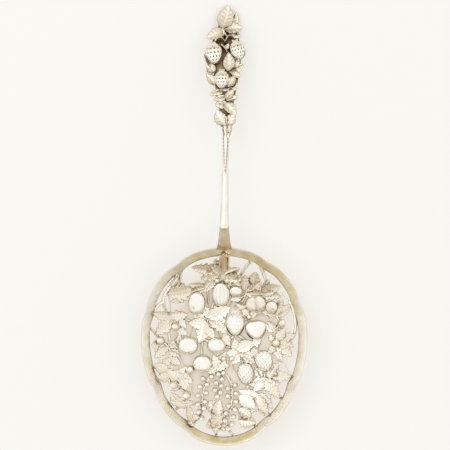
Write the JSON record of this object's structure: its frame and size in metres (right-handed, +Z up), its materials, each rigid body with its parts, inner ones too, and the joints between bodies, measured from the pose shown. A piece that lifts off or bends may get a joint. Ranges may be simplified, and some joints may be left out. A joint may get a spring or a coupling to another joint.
{
  "type": "berry spoon",
  "caption": "Silver berry spoon with a scalloped rim round an openwork bowl of soldered vines, leaves and fruit, on an arched stem with a strawberry finial.",
  "frame": {"origin": "under the middle of the box that holds the spoon, on the table that it lies on", "axes": "+Y along the spoon from the bowl to the finial, +X to the right seen from above, +Z up out of the bowl"},
  "size_m": [0.0828, 0.2202, 0.0237],
  "materials": {
    "rim_silver": "satin silver, warm with light tarnish",
    "vine_silver": "satin silver wire, darkened at the joints",
    "fruit_silver": "polished silver",
    "currant_silver": "polished silver, darkened between the beads",
    "leaf_silver": "chased silver with dark hollows",
    "handle_silver": "polished silver with light wear",
    "recess_silver": "oxidised silver, nearly black brown"
  },
  "bodies": {
    "root": {"bowl_rim": "rim_silver", "root_vine": "vine_silver", "right_vine": "vine_silver", "cross_vine": "vine_silver", "left_vine": "vine_silver", "left_cross_vine": "vine_silver", "lower_right_vine": "vine_silver", "bottom_vine": "vine_silver", "gooseberry_middle": "fruit_silver", "gooseberry_left": "fruit_silver", "plum": "fruit_silver", "apricot": "fruit_silver", "sloe": "fruit_silver", "strawberry": "fruit_silver", "fig": "fruit_silver", "cherry_left": "fruit_silver", "cherry_right": "fruit_silver", "cherry_lower": "fruit_silver", "raspberry_right": "fruit_silver", "raspberry_left": "fruit_silver", "currants_left": "currant_silver", "currants_middle": "currant_silver", "currants_right": "currant_silver", "heel_leaf": "leaf_silver", "top_leaves_left": "leaf_silver", "top_leaves_right": "leaf_silver", "broad_leaf_left": "leaf_silver", "veined_leaf_right": "leaf_silver", "serrated_leaves_right": "leaf_silver", "side_leaves_right": "leaf_silver", "star_leaves_right": "leaf_silver", "rim_leaves_right": "leaf_silver", "long_leaves_right": "leaf_silver", "lower_leaves_right": "leaf_silver", "bottom_leaf_right": "leaf_silver", "vine_leaf_bottom": "leaf_silver", "bottom_leaf_left": "leaf_silver", "lower_leaf_left": "leaf_silver", "lobed_leaf_left": "leaf_silver", "curled_leaves_left": "leaf_silver", "star_leaves_left": "leaf_silver", "centre_leaves_left": "leaf_silver", "centre_leaves_middle": "leaf_silver", "centre_leaves_right": "leaf_silver", "middle_leaves": "leaf_silver", "bud_sprig": "leaf_silver", "neck": "handle_silver", "stem": "handle_silver", "stem_reed": "handle_silver", "finial_plate": "recess_silver", "finial_strawberry_left": "fruit_silver", "finial_strawberry_right": "fruit_silver", "finial_strawberry_lower": "fruit_silver", "finial_tip_leaf": "leaf_silver", "finial_upper_leaves_right": "leaf_silver", "finial_upper_leaf_left": "leaf_silver", "finial_side_leaves_right": "leaf_silver", "finial_side_leaves_left": "leaf_silver", "finial_lower_leaves": "leaf_silver", "finial_foot_leaves": "leaf_silver"}
  },
  "joints": []
}
